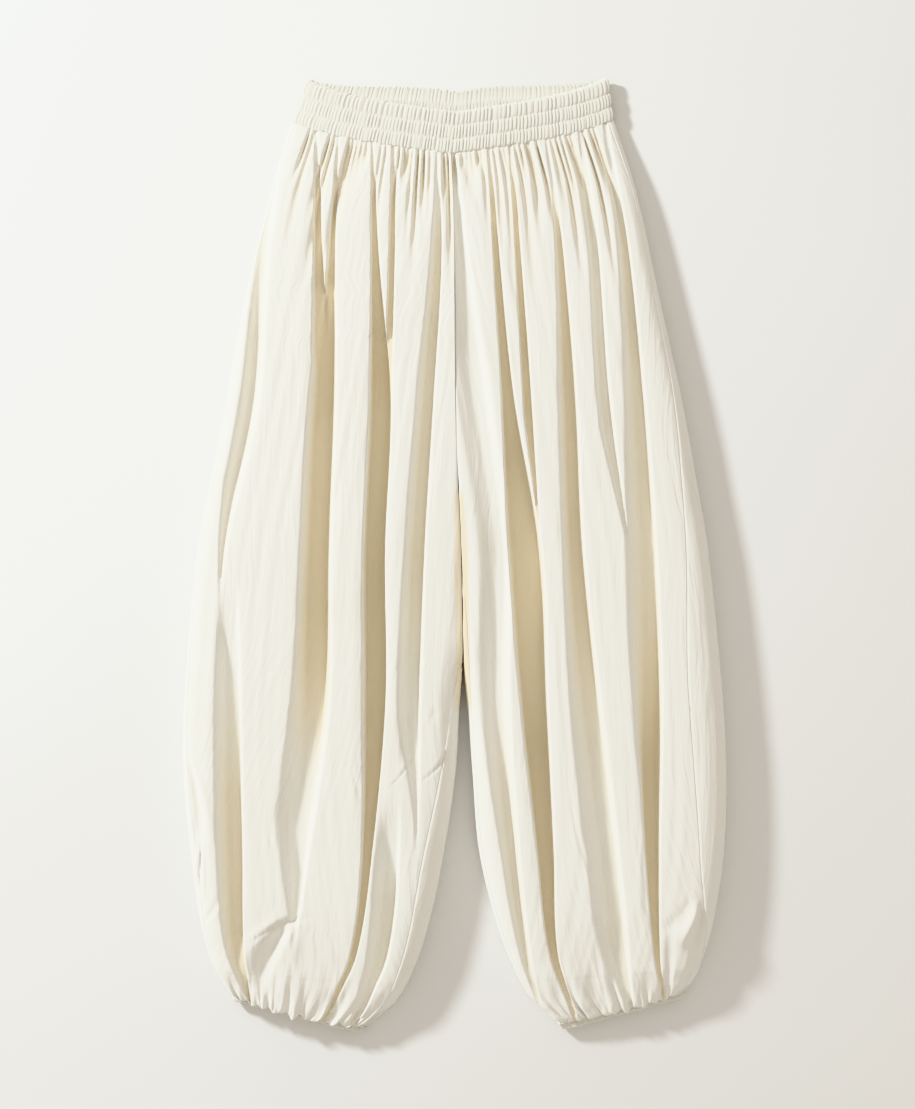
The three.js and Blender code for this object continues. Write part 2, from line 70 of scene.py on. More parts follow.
def clouded_finish(name, scale, detail, dark, light):
    """A plain finish whose tone drifts between two colours: the material, and its shader for the rest."""
    finish = bpy.data.materials.new(name)
    finish.use_nodes = True
    nodes, links = finish.node_tree.nodes, finish.node_tree.links
    shader = nodes["Principled BSDF"]
    place = nodes.new("ShaderNodeTexCoord")
    cloud = nodes.new("ShaderNodeTexNoise")
    cloud.inputs["Scale"].default_value = scale
    cloud.inputs["Detail"].default_value = detail
    tone = nodes.new("ShaderNodeValToRGB")
    tone.color_ramp.elements[0].color = (*dark, 1)
    tone.color_ramp.elements[1].color = (*light, 1)
    links.new(place.outputs["Object"], cloud.inputs["Vector"])
    links.new(cloud.outputs["Fac"], tone.inputs["Fac"])
    links.new(tone.outputs["Color"], shader.inputs["Base Color"])
    return finish, shader


board, board_shader = clouded_finish("pale_board", 2.5, 3, (0.785, 0.785, 0.765), (0.825, 0.825, 0.805))
board_shader.inputs["Roughness"].default_value = 0.9
board_shader.inputs["Specular IOR Level"].default_value = 0.15
floor.data.materials.append(board)

# One soft window-like lamp stands low at the upper left, and an even, faintly warm room fills the shade.
lamp_distance = 2.6
lamp_elevation = math.radians(27)
lamp_bearing = math.radians(147)
lamp_size = 0.31
lamp_power = 76
room_light = 0.74
lamp_place = (
    lamp_distance * math.cos(lamp_elevation) * math.cos(lamp_bearing),
    lamp_distance * math.cos(lamp_elevation) * math.sin(lamp_bearing),
    lamp_distance * math.sin(lamp_elevation),
)
bpy.ops.object.light_add(type="AREA", location=lamp_place)
lamp = bpy.context.object
lamp.name = "soft_lamp"
lamp.data.shape = "DISK"
lamp.data.size = lamp_size
lamp.data.energy = lamp_power
lamp.data.color = (0.87, 0.94, 1.0)
lamp.rotation_euler = (math.pi / 2 - lamp_elevation, 0, lamp_bearing + math.pi / 2)
room = bpy.data.worlds.new("room")
room.use_nodes = True
room.node_tree.nodes["Background"].inputs["Color"].default_value = (1.0, 0.93, 0.85, 1)
room.node_tree.nodes["Background"].inputs["Strength"].default_value = room_light
bpy.context.scene.world = room
bpy.context.scene.view_settings.view_transform = "Khronos PBR Neutral"

# Front leg panels. Each is one length of thin ivory cloth from waist to ankle, gathered into the waistband
# and the ankle casing, so it lies in long soft folds with flat tops and steep sides. In the deep troughs the
# front rests on the back. The tables follow the cut of the solids, in metres.
leg_length = 0.908
crotch_down = 0.346
crown_power = 10.0
trough_height = 0.0036
least_top = 0.0026
under_curl = 0.012
centre_gap = 0.0004

# The height of a leg's inner edge at the centre seam and at the inseam, and how it changes down the leg.
centre_edge = 0.004
inseam_edge = 0.011
inseam_edge_length = 0.08
hem_edge_down, hem_edge_share = 0.85, 0.6
centre_parts_down = 0.24
centre_parts_past_crotch = 0.02
inseam_curl_length = 0.028

# The back's waist seam sits higher than the front's, which hangs in a shallow curve.
back_rise, back_rise_length = 0.022, 0.15
front_sag, front_sag_length = 0.006, 0.06
sag_power = 0.65

# Stations down each leg: the outer and inner edge, the height of the folds' tops and of the outer edge.
station_keys = ("down", "out_x", "out_y", "in_x", "in_y", "crown", "out_edge")
stations = {
    "left": [
        (0.000, -0.1720, 0.4536, -0.0040, 0.4200, 0.0140, 0.0070),
        (0.060, -0.1930, 0.3810, -0.0020, 0.3710, 0.0230, 0.0090),
        (0.165, -0.2205, 0.2657, 0.0000, 0.2657, 0.0290, 0.0100),
        (0.273, -0.2400, 0.1607, 0.0010, 0.1607, 0.0320, 0.0110),
        (0.346, -0.2540, 0.0870, 0.0030, 0.0870, 0.0335, 0.0110),
        (0.430, -0.2700, 0.0030, 0.0040, 0.0030, 0.0355, 0.0115),
        (0.588, -0.2840, -0.1540, 0.0047, -0.1540, 0.0385, 0.0120),
        (0.667, -0.2845, -0.2330, 0.0006, -0.2330, 0.0395, 0.0120),
        (0.745, -0.2770, -0.3120, -0.0110, -0.3120, 0.0400, 0.0120),
        (0.814, -0.2680, -0.3800, -0.0250, -0.3800, 0.0395, 0.0110),
        (0.856, -0.2580, -0.4210, -0.0400, -0.4290, 0.0360, 0.0100),
        (0.887, -0.2470, -0.4460, -0.0610, -0.4690, 0.0300, 0.0090),
        (0.908, -0.2340, -0.4610, -0.0930, -0.4975, 0.0135, 0.0066),
    ],
    "right": [
        (0.000, 0.1670, 0.4557, -0.0040, 0.4200, 0.0140, 0.0070),
        (0.060, 0.1900, 0.3810, -0.0020, 0.3710, 0.0230, 0.0090),
        (0.165, 0.2150, 0.2657, 0.0000, 0.2657, 0.0290, 0.0100),
        (0.273, 0.2380, 0.1607, 0.0010, 0.1607, 0.0320, 0.0110),
        (0.346, 0.2515, 0.0870, 0.0030, 0.0870, 0.0335, 0.0110),
        (0.430, 0.2655, 0.0030, 0.0090, 0.0030, 0.0355, 0.0115),
        (0.588, 0.2810, -0.1540, 0.0130, -0.1540, 0.0385, 0.0120),
        (0.667, 0.2845, -0.2330, 0.0180, -0.2330, 0.0395, 0.0120),
        (0.745, 0.2820, -0.3120, 0.0250, -0.3120, 0.0400, 0.0120),
        (0.814, 0.2720, -0.3800, 0.0410, -0.3800, 0.0395, 0.0110),
        (0.856, 0.2615, -0.4200, 0.0570, -0.4250, 0.0360, 0.0100),
        (0.887, 0.2530, -0.4430, 0.0780, -0.4650, 0.0300, 0.0090),
        (0.908, 0.2410, -0.4580, 0.1080, -0.4940, 0.0135, 0.0066),
    ],
}

# How far in from each edge the seams lie on the front.
seam_keys = ("down", "out_in", "in_in")
seams = {
    "left": [
        (0.000, 0.004, 0.000),
        (0.430, 0.004, 0.000),
        (0.540, 0.005, 0.000),
        (0.588, 0.006, 0.008),
        (0.745, 0.009, 0.021),
        (0.850, 0.005, 0.017),
        (0.908, 0.003, 0.009),
    ],
    "right": [
        (0.000, 0.006, 0.000),
        (0.115, 0.005, 0.000),
        (0.273, 0.010, 0.000),
        (0.430, 0.025, 0.000),
        (0.588, 0.038, 0.004),
        (0.745, 0.028, 0.004),
        (0.850, 0.004, 0.004),
        (0.908, 0.003, 0.003),
    ],
}

# Long folds. left and right are where a trough's two edges lie, measured from the garment's centre line, at
# each of the levels. start and end are where it begins and fades. deep and deep_low are its depth above and
# below the knee, soft_left and soft_low how soft its left side is there, and soft_right its right side.
fold_levels = (0.0, 0.115, 0.273, 0.430, 0.588, 0.745, 0.850, 0.908)
fold_keys = ("left", "right", "start", "end", "deep", "deep_low", "soft_left", "soft_low", "soft_right")
folds = {
    "left": [
        ((-0.1806, -0.2058, -0.2205, -0.2499, -0.2625, -0.2677, -0.2625, -0.2310),
         (-0.1764, -0.1953, -0.2068, -0.2383, -0.2467, -0.2551, -0.2551, -0.2278),
         0.000, 0.500, 0.50, 0.00, 1.20, 1.20, 1.00),
        ((-0.1627, -0.1942, -0.2215, -0.2404, -0.2446, -0.2425, -0.2341, -0.2110),
         (-0.1585, -0.1879, -0.2131, -0.2257, -0.2236, -0.2210, -0.2194, -0.2089),
         0.450, 0.908, 0.30, 0.62, 0.90, 0.80, 0.25),
        ((-0.1470, -0.1470, -0.1491, -0.1564, -0.1732, -0.1879, -0.2026, -0.2047),
         (-0.1433, -0.1381, -0.1313, -0.1417, -0.1575, -0.1732, -0.1942, -0.2026),
         0.000, 0.360, 0.85, 0.00, 0.30, 0.30, 0.30),
        ((-0.1234, -0.1313, -0.1491, -0.1575, -0.1638, -0.1806, -0.1963, -0.2026),
         (-0.1207, -0.1249, -0.1260, -0.1313, -0.1333, -0.1533, -0.1690, -0.1921),
         0.000, 0.850, 0.92, 0.40, 0.50, 1.35, 0.35),
        ((-0.1313, -0.1313, -0.1207, -0.1207, -0.1155, -0.1207, -0.1313, -0.1480),
         (-0.1207, -0.1207, -0.1102, -0.1102, -0.1081, -0.1102, -0.1186, -0.1417),
         0.850, 0.908, 0.00, 0.30, 0.90, 0.80, 0.40),
        ((-0.0877, -0.0871, -0.0882, -0.0945, -0.0945, -0.0961, -0.1092, -0.1407),
         (-0.0851, -0.0798, -0.0672, -0.0730, -0.0725, -0.0861, -0.1029, -0.1365),
         0.000, 0.908, 0.95, 0.92, 0.20, 0.30, 0.14),
        ((-0.0662, -0.0682, -0.0745, -0.0829, -0.0829, -0.0914, -0.1081, -0.1407),
         (-0.0619, -0.0625, -0.0667, -0.0730, -0.0725, -0.0861, -0.1029, -0.1365),
         0.000, 0.330, 0.90, 0.00, 0.20, 0.20, 0.20),
        ((-0.0367, -0.0367, -0.0577, -0.0630, -0.0703, -0.0777, -0.0871, -0.1092),
         (-0.0325, -0.0325, -0.0514, -0.0556, -0.0598, -0.0588, -0.0703, -0.1039),
         0.680, 0.908, 0.00, 0.50, 0.90, 1.00, 0.25),
        ((-0.0199, -0.0231, -0.0367, -0.0483, -0.0546, -0.0462, -0.0630, -0.1018),
         (-0.0178, -0.0136, -0.0221, -0.0315, -0.0367, -0.0399, -0.0577, -0.0997),
         0.000, 0.770, 0.58, 0.36, 0.90, 1.00, 0.18),
    ],
    "right": [
        ((-0.0021, 0.0000, 0.0115, 0.0325, 0.0325, 0.0514, 0.0693, 0.0924),
         (0.0010, 0.0126, 0.0347, 0.0545, 0.0540, 0.0651, 0.0777, 0.0945),
         0.000, 0.908, 0.32, 0.54, 1.35, 1.00, 0.60),
        ((0.0336, 0.0399, 0.0493, 0.0567, 0.0693, 0.0861, 0.0987, 0.1249),
         (0.0373, 0.0462, 0.0619, 0.0892, 0.0955, 0.1029, 0.1071, 0.1281),
         0.000, 0.908, 0.92, 0.92, 0.20, 0.20, 0.14),
        ((0.0556, 0.0630, 0.0714, 0.0819, 0.0861, 0.0945, 0.1018, 0.1249),
         (0.0598, 0.0688, 0.0798, 0.0892, 0.0955, 0.1029, 0.1071, 0.1281),
         0.000, 0.430, 0.90, 0.00, 0.20, 0.20, 0.14),
        ((0.1417, 0.1417, 0.1417, 0.1417, 0.1396, 0.1396, 0.1449, 0.1585),
         (0.1438, 0.1438, 0.1438, 0.1438, 0.1438, 0.1438, 0.1501, 0.1606),
         0.820, 0.908, 0.00, 0.45, 0.60, 0.60, 0.35),
        ((0.0945, 0.1060, 0.1113, 0.1165, 0.1260, 0.1438, 0.1585, 0.1827),
         (0.0971, 0.1129, 0.1260, 0.1333, 0.1501, 0.1690, 0.1795, 0.1848),
         0.000, 0.908, 0.66, 0.48, 0.90, 1.10, 0.25),
        ((0.1291, 0.1407, 0.1501, 0.1690, 0.1879, 0.1942, 0.1995, 0.2047),
         (0.1333, 0.1501, 0.1617, 0.1816, 0.1942, 0.1995, 0.2026, 0.2068),
         0.000, 0.440, 0.50, 0.00, 0.80, 0.80, 0.25),
        ((0.1554, 0.1722, 0.1816, 0.1858, 0.1911, 0.1984, 0.2068, 0.2168),
         (0.1596, 0.1816, 0.1974, 0.2089, 0.2142, 0.2121, 0.2131, 0.2184),
         0.000, 0.908, 0.58, 0.85, 1.20, 0.30, 0.16),
        ((0.1627, 0.1942, 0.2152, 0.2236, 0.2257, 0.2194, 0.2194, 0.2215),
         (0.1648, 0.1995, 0.2205, 0.2278, 0.2341, 0.2299, 0.2268, 0.2236),
         0.790, 0.908, 0.00, 0.30, 1.00, 1.00, 1.00),
        ((0.1638, 0.2026, 0.2289, 0.2467, 0.2572, 0.2467, 0.2446, 0.2289),
         (0.1659, 0.2047, 0.2320, 0.2510, 0.2636, 0.2572, 0.2541, 0.2320),
         0.810, 0.908, 0.00, 0.50, 0.80, 0.80, 0.60),
    ],
}

# A trough that starts or ends on the leg deepens, narrows and fades over these lengths. At the knee the
# table's upper values turn into the lower ones.
fold_taper = 0.14
fold_deepens = 0.12
fold_fades = 0.05
least_tip = 0.001
knee_depth_span = (0.43, 0.74)
knee_soft_span = (0.50, 0.74)

# How deep a trough may be for its width, how its sides slope, and how far the cloth beside it sinks.
depth_to_width = 1.5
soft_room = 0.5
least_room = 0.08
least_width = 0.001
slope_share = 0.75
least_slope = 0.0007
shoulder_width, shoulder_depth = 0.011, 0.045
hem_draw_length, hem_draw_share = 0.09, 0.5
# Between these two depths a trough's floor goes from no painted shade to full painted shade.
shaded_depths = (0.38, 0.75)


def mix(a, b, share):
    return a + (b - a) * share


def ramp(value, start, end):
    """0 before start, 1 after end, and smooth between."""
    share = np.clip((value - start) / (end - start), 0, 1)
    return share * share * (3 - 2 * share)


def curve_through(levels, values, at):
    """A smooth curve through a table's column, the same one that shapes the solids."""
    levels, values, at = np.asarray(levels), np.asarray(values), np.asarray(at)
    last = len(levels) - 1
    low, high = np.maximum(np.arange(last + 1) - 1, 0), np.minimum(np.arange(last + 1) + 1, last)
    slopes = (values[high] - values[low]) / (levels[high] - levels[low])
    i = np.clip(np.searchsorted(levels, at, side="left") - 1, 0, last - 1)
    span = levels[i + 1] - levels[i]
    share = np.clip((at - levels[i]) / span, 0, 1)
    square, cube = share**2, share**3
    return (
        values[i] * (2 * cube - 3 * square + 1)
        + values[i + 1] * (3 * square - 2 * cube)
        + slopes[i] * span * (cube - 2 * square + share)
        + slopes[i + 1] * span * (cube - square)
    )


def read_table(rows, keys, key, down):
    columns = list(zip(*rows))
    return curve_through(columns[0], columns[keys.index(key)], down)


# Just below the crotch the legs press together, and each one's inner edge rolls out high up to meet the
# other. The narrow gap that is left gets painted shade, like the folds' floors.
lap_edge_height = 0.031
lap_edge_span = (0.52, 0.61)
lap_end_span = (0.54, 0.61)
lap_full_down = 0.38
lap_most = 0.0045
lap_clearance = 0.0003
lap_roll = 0.0018
lap_shaded = 0.0008
gap_shade_span = (0.002, 0.005)


def lap_at(down):
    """How far each leg's inner edge rolls out into the narrow gap between the legs."""
    inner = [read_table(stations[side], station_keys, "in_x", down) for side in ("left", "right")]
    gap = inner[1] - inner[0] + centre_gap
    reach = np.clip(gap / 2 - lap_clearance, 0, lap_most)
    return reach * ramp(down, crotch_down, lap_full_down) * (1 - ramp(down, *lap_end_span))


def cut_at(side, down):
    """The measures of one leg at each of the levels in down, as columns of numbers."""
    outward = -1 if side == "left" else 1
    cut = SimpleNamespace(side=side, down=down, outward=outward)
    for key in station_keys[1:]:
        setattr(cut, key, read_table(stations[side], station_keys, key, down))
    cut.in_x = cut.in_x + outward * centre_gap / 2
    cut.width = np.hypot(cut.in_x - cut.out_x, cut.in_y - cut.out_y)
    cut.in_edge = mix(centre_edge, inseam_edge, ramp(down, crotch_down, crotch_down + inseam_edge_length))
    cut.in_edge = cut.in_edge * mix(1, hem_edge_share, ramp(down, hem_edge_down, leg_length))
    cut.in_edge = mix(lap_edge_height, cut.in_edge, ramp(down, *lap_edge_span))
    cut.lap = lap_at(down)
    cut.open_centre = 1 - ramp(down, centre_parts_down, crotch_down + centre_parts_past_crotch)
    cut.under_curl = ramp(down, crotch_down, crotch_down + inseam_curl_length)
    cut.back_rise = back_rise * (1 - ramp(down, 0, back_rise_length))
    cut.front_sag = front_sag * (1 - ramp(down, 0, front_sag_length))
    return cut


def share_at(place):
    """The share of the width at a place round the leg: 0 to 1 over the top, 1 to 2 back underneath."""
    return (1 - np.cos(np.pi * place)) / 2


def place_at(share):
    return np.arccos(1 - 2 * np.clip(share, 0, 1)) / np.pi


# Short gathers, uneven in place and length. waist_gather_x says where they leave the waist seam, measured
# from the centre line. Above the ankle they are drawn at random, 13 longer and 27 shorter ones a leg.
gather_draw = np.random.default_rng(11)
waist_gather_x = {
    "left": (
        -0.1564, -0.1512, -0.1344, -0.1291, -0.1134, -0.1092, -0.1039, -0.0987, -0.0945, -0.0788, -0.0735,
        -0.0588, -0.0535, -0.0493, -0.0451, -0.0388, -0.0325, -0.0262, -0.0115, -0.0073,
    ),
    "right": (
        -0.0010, 0.0084, 0.0136, 0.0178, 0.0241, 0.0283, 0.0420, 0.0493, 0.0535, 0.0651, 0.0703,
        0.0766, 0.0798, 0.0882, 0.1039, 0.1092, 0.1144, 0.1207, 0.1249, 0.1386, 0.1459, 0.1501,
    ),
}
waist_gather_down = 0.015
waist_gather_sizes = ((0.05, 0.24), (0.003, 0.0085), (0.0011, 0.0021))
ankle_gather_sizes = (
    (13, (0.03, 0.08), (0.002, 0.005), (0.0014, 0.0026)),
    (27, (0.018, 0.05), (0.0022, 0.005), (0.0010, 0.0018)),
)
gather_jitter = 0.3
gather_shortening = (0.6, 1.0)
gather_drift = 0.01

# A gather widens away from its seam and holds its depth over a share of its length. Right at the seam it
# is shallower, and it deepens between two distances from it.
gather_forms = {
    "waist": SimpleNamespace(widens=1.6, holds=0.25, at_seam=0.25, deepens=(-0.002, 0.014)),
    "ankle": SimpleNamespace(widens=2.2, holds=0.2, at_seam=0.3, deepens=(0, 0.012)),
}
# A waist gather this deep or deeper gets full painted shade in its furrow.
gather_shaded_depth = 0.009
low_cloth_share = 0.3
crest_span = (trough_height + 0.001, trough_height + 0.010)


def even_shares(count):
    """Places across a panel, roughly even."""
    return [(i + 0.5 + gather_draw.uniform(-gather_jitter, gather_jitter)) / count for i in range(count)]


def waist_shares(side):
    top = cut_at(side, np.full(1, waist_gather_down))
    return [float((x - top.out_x[0]) / (top.in_x[0] - top.out_x[0])) for x in waist_gather_x[side]]


def short_gathers(shares, lengths, depths, halves):
    rows = []
    for share in shares:
        rows.append(SimpleNamespace(
            share=share,
            length=gather_draw.uniform(*lengths) * gather_draw.uniform(*gather_shortening),
            depth=gather_draw.uniform(*depths),
            half=gather_draw.uniform(*halves),
            drift=gather_draw.uniform(-gather_drift, gather_drift),
        ))
    return rows


waist_gathers = {side: short_gathers(waist_shares(side), *waist_gather_sizes) for side in stations}
ankle_gathers = {
    side: [row for count, *sizes in ankle_gather_sizes for row in short_gathers(even_shares(count), *sizes)]
    for side in stations
}


def furrow(gather, form, cut, share, from_seam):
    """How much of its own depth a short gather has at each point."""
    away = (share - gather.share - gather.drift * from_seam / gather.length) * cut.width
    half = gather.half * (1 + form.widens * ramp(from_seam, 0, gather.length))
    fade = 1 - ramp(from_seam, gather.length * form.holds, gather.length)
    fade = fade * mix(form.at_seam, 1, ramp(from_seam, *form.deepens))
    return fade * np.exp(-((away / half) ** 2))


# Faint long ripples on the flat tops of the folds. Each has a width, a length down the leg, two phases and a
# bend, and a wide one stands higher than a narrow one.
any_phase = (0, 6.3)
ripple_spans = ((0.008, 0.026), (0.25, 0.8), any_phase, any_phase, (-1.2, 1.2))
ripple_height_to_width = 0.0055
ripple_rows = [[gather_draw.uniform(*span) for span in ripple_spans] for _ in range(14)]


def ripples(across, down):
    height = 0
    for width, length, phase, fade_phase, bend in ripple_rows:
        swing = np.sin(2 * np.pi * down / length + fade_phase)
        turn = 2 * np.pi * across / width + phase + bend * swing
        height = height + np.sin(turn) * (0.5 + 0.5 * swing) * width
    return height * ripple_height_to_width


# Single creases: where each starts and ends on the leg, how far it bows sideways, its depth and its half
# width. A negative depth is a ridge.
crease_keys = ("x_start", "y_start", "x_end", "y_end", "bow", "depth", "half")
creases = {
    "left": [
        (-0.214, -0.405, -0.160, -0.379, -0.004, 0.0022, 0.0022),
        (-0.176, -0.386, -0.204, -0.452, 0.003, 0.0065, 0.0120),
        (-0.164, -0.384, -0.196, -0.456, 0.003, -0.0016, 0.0050),
        (-0.070, -0.244, -0.044, -0.212, 0.002, 0.0011, 0.0013),
        (-0.034, -0.162, -0.010, -0.172, 0.002, 0.0012, 0.0014),
        (-0.036, -0.236, -0.006, -0.206, 0.003, 0.0013, 0.0016),
        (-0.028, -0.008, -0.006, -0.040, 0.002, 0.0008, 0.0014),
        (-0.276, -0.218, -0.265, -0.298, -0.003, 0.0038, 0.0045),
        (-0.264, -0.306, -0.268, -0.356, -0.001, 0.0030, 0.0022),
        (-0.262, -0.384, -0.246, -0.360, 0.002, 0.0012, 0.0026),
        (-0.252, -0.432, -0.236, -0.460, 0.002, 0.0026, 0.0030),
        (-0.182, -0.140, -0.150, -0.147, 0.001, 0.0004, 0.0018),
        (-0.176, -0.186, -0.146, -0.190, -0.001, 0.0004, 0.0018),
        (-0.106, -0.226, -0.092, -0.262, 0.002, 0.0008, 0.0024),
        (-0.192, -0.292, -0.186, -0.312, 0.001, 0.0006, 0.0020),
    ],
    "right": [
        (0.246, -0.150, 0.270, -0.158, 0.001, 0.0012, 0.0014),
        (0.240, -0.166, 0.262, -0.160, -0.001, 0.0012, 0.0014),
        (0.250, -0.366, 0.232, -0.400, -0.003, -0.0035, 0.0070),
        (0.256, -0.372, 0.246, -0.410, -0.002, 0.0040, 0.0050),
        (0.020, -0.196, 0.034, -0.216, 0.001, 0.0008, 0.0016),
        (0.120, -0.245, 0.140, -0.330, 0.004, 0.0008, 0.0020),
        (0.196, -0.300, 0.204, -0.390, 0.003, 0.0008, 0.0030),
    ],
}

# A crease widens from its start, fades in and out at its ends, and has a low lip on each side.
crease_start_width, crease_widening = 0.5, 0.7
crease_fade = 0.25
crease_lip, crease_lip_place = 0.35, 2.2


def crease_height(side, x, y):
    height = 0
    for row in creases[side]:
        crease = SimpleNamespace(**dict(zip(crease_keys, row)))
        run_x, run_y = crease.x_end - crease.x_start, crease.y_end - crease.y_start
        length = math.hypot(run_x, run_y)
        along = ((x - crease.x_start) * run_x + (y - crease.y_start) * run_y) / length**2
        off = ((x - crease.x_start) * run_y - (y - crease.y_start) * run_x) / length
        off = off - crease.bow * 4 * along * (1 - along)
        off = off / (crease.half * (crease_start_width + crease_widening * np.clip(along, 0, 1)))
        taper = ramp(along, -crease_fade, crease_fade) * (1 - ramp(along, 1 - crease_fade, 1 + crease_fade))
        lips = np.exp(-((off - crease_lip_place) ** 2)) + np.exp(-((off + crease_lip_place) ** 2))
        height = height + crease.depth * taper * (crease_lip * lips - np.exp(-(off**2)))
    return height


def trough_depth(fold, cut, x):
    """How far one trough takes the cloth down, as a share of the crown, and how much painted shade its floor
    gets. Its right edge runs straight to its tip, and it is no deeper than its width allows."""
    runs_to_hem = fold.end >= leg_length
    left = curve_through(fold_levels, fold.left, cut.down)
    right = curve_through(fold_levels, fold.right, cut.down)
    tip = 1.0 if runs_to_hem else np.clip((fold.end - cut.down) / fold_taper, least_tip, 1)
    half = np.maximum(right - left, least_width) / 2 * tip
    off = x - (right - half)
    soft = mix(fold.soft_left, fold.soft_low, ramp(cut.down, *knee_soft_span))
    slope = np.maximum(slope_share * np.where(off < 0, soft, fold.soft_right) * half, least_slope)
    past_edge = np.abs(off) - half
    dip = 1 - ramp(past_edge, -slope, slope)
    shoulder = (1 - ramp(past_edge, 0, shoulder_width)) * shoulder_depth
    shown = ramp(cut.down, fold.start - least_tip, fold.start + fold_deepens)
    shown = mix(shown, 1, 0.5) if fold.start == 0 else shown
    fades = 1 if runs_to_hem else 1 - ramp(cut.down, fold.end - fold_fades, fold.end)
    depth = mix(fold.deep, fold.deep_low, ramp(cut.down, *knee_depth_span)) * shown * fades
    room = np.clip(depth_to_width * 2 * half * (1 + soft_room * soft) / cut.crown, least_room, 1)
    drawn_in = mix(hem_draw_share, 1, ramp(leg_length - cut.down, 0, hem_draw_length))
    sunk = depth * room * drawn_in * (dip + shoulder * (1 - dip))
    return sunk, dip * ramp(depth, *shaded_depths)


def front_height(cut, share):
    """The height of the front cloth above the floor."""
    crown_shape = np.sqrt(np.maximum(0, 1 - np.abs(1 - 2 * share) ** crown_power))
    edge = np.where(share < 0.5, cut.out_edge, cut.in_edge)
    closed = np.where(share < 0.5, 1.0, 1 - cut.open_centre)
    plain = edge + (cut.crown - edge) * (1 - closed * (1 - crown_shape))
    lowest = np.minimum(trough_height, plain)
    flat_x, flat_y = mix(cut.out_x, cut.in_x, share), mix(cut.out_y, cut.in_y, share)
    kept = 1.0
    # Alongside the height, the cut collects each point's painted shade, from the troughs' floors and the
    # waist gathers.
    cut.hollow = 0.0
    for row in folds[cut.side]:
        sunk, shaded = trough_depth(SimpleNamespace(**dict(zip(fold_keys, row))), cut, flat_x)
        kept = kept * (1 - sunk)
        cut.hollow = np.maximum(cut.hollow, shaded)
    height = lowest + (plain - lowest) * kept
    crest = ramp(height, *crest_span)
    height = height + ripples(share * cut.width * cut.outward, cut.down) * crest
    strength = mix(low_cloth_share, 1, crest)
    for gather in waist_gathers[cut.side]:
        depth = gather.depth * furrow(gather, gather_forms["waist"], cut, share, cut.down)
        height = height - depth * strength
        cut.hollow = np.maximum(cut.hollow, depth / gather_shaded_depth)
    for gather in ankle_gathers[cut.side]:
        depth = gather.depth * furrow(gather, gather_forms["ankle"], cut, share, leg_length - cut.down)
        height = height - depth * strength
    height = height + crease_height(cut.side, flat_x, flat_y) * strength
    return np.maximum(height, np.minimum(least_top, plain))


# The cloth blouses over the ankle elastic: above the seam it swells out past the casing and comes back under
# to it, more on the left leg than on the right, and less where a trough runs down to the seam.
blouse_length = 0.034
blouse_reach = {"left": 0.0155, "right": 0.0115}
blouse_arc, blouse_ends = 0.55, 0.5
blouse_crests = (0.010, 0.021)
casing_top = 0.0140
casing_clearance = 0.0016
past_casing_span = (-0.0005, 0.0012)
puffed_crown = 0.0275
puffed_down = 0.87
pucker_base, pucker_swing = 0.86, 0.09
pucker_rows = [(gather_draw.uniform(7, 19), gather_draw.uniform(*any_phase)) for _ in range(5)]


def bloused(cut, share):
    """How far the cloth swells down past its own level, and its height there."""
    seam_height = front_height(cut, share)
    puffed = SimpleNamespace(**vars(cut))
    puffed.crown = mix(cut.crown, puffed_crown, ramp(cut.down, puffed_down, leg_length))
    full_height = front_height(puffed, share)
    cut.hollow = puffed.hollow
    along = np.clip((leg_length - cut.down) / blouse_length, 0, 1)
    height = mix(seam_height, full_height, 1 - (1 - along) ** 3)
    lobe = ramp(full_height, *blouse_crests) * np.sin(np.pi * np.clip(share, 0, 1)) ** blouse_ends
    uneven = pucker_base
    for waves, phase in pucker_rows:
        uneven = uneven + pucker_swing * np.sin(2 * np.pi * waves * share + phase)
    reach = blouse_reach[cut.side] * np.sin(np.pi * along**blouse_arc) * lobe * uneven
    past_seam = reach - (leg_length - cut.down)
    floor_height = (casing_top + casing_clearance) * ramp(past_seam, *past_casing_span)
    return reach, np.maximum(height, np.where(past_seam > past_casing_span[0], floor_height, 0))


def under_height(cut, share):
    """The height of the back cloth: flat on the floor, but for its curled edges."""
    from_out, from_in = share * cut.width, (1 - share) * cut.width

    def curl(distance):
        return 1 - np.sqrt(1 - np.clip(1 - distance / under_curl, 0, 1) ** 2)

    return cut.out_edge * curl(from_out) + cut.under_curl * cut.in_edge * curl(from_in)


def leg_points(cut, place):
    """Points on the leg's outer surface, an array of rows down the leg and columns round it."""
    share = share_at(place)
    on_top = (place <= 1) | (place >= 2)
    x = mix(cut.out_x, cut.in_x, share)
    y = mix(cut.out_y, cut.in_y, share)
    sag = cut.front_sag * np.sin(np.pi * share**sag_power)
    y = y - np.where(on_top, sag, -cut.back_rise * ramp(share, 0, 1))
    reach, top = bloused(cut, share)
    hem = [read_table(stations[cut.side], station_keys, key, leg_length) for key in station_keys[1:5]]
    hem_width = math.hypot(hem[2] - hem[0], hem[3] - hem[1])
    x = x + np.where(on_top, reach * (hem[3] - hem[1]) / hem_width * -cut.outward, 0)
    y = y - np.where(on_top, reach * abs(hem[2] - hem[0]) / hem_width, 0)
    z = np.where(on_top, top, under_height(cut, share))
    from_in = (1 - share) * cut.width
    x = x - cut.outward * cut.lap * (1 - np.clip(from_in / lap_roll, 0, 1))
    # Painted shade along the narrow gap between the legs, on top and underneath.
    at_gap = ramp(cut.lap, 0, lap_shaded) * (1 - ramp(from_in, *gap_shade_span))
    hollow = np.where(on_top, np.maximum(cut.hollow, at_gap), at_gap)
    return np.stack(np.broadcast_arrays(x, y, z, hollow), axis=-1)


# The solids' origin is under the middle of the garment, so the cut is moved by the same little amount.
band_height = 0.042
seam_gap = 0.0003
cut_to_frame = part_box("waistband")[1][1] - (stations["right"][0][2] + seam_gap + band_height)


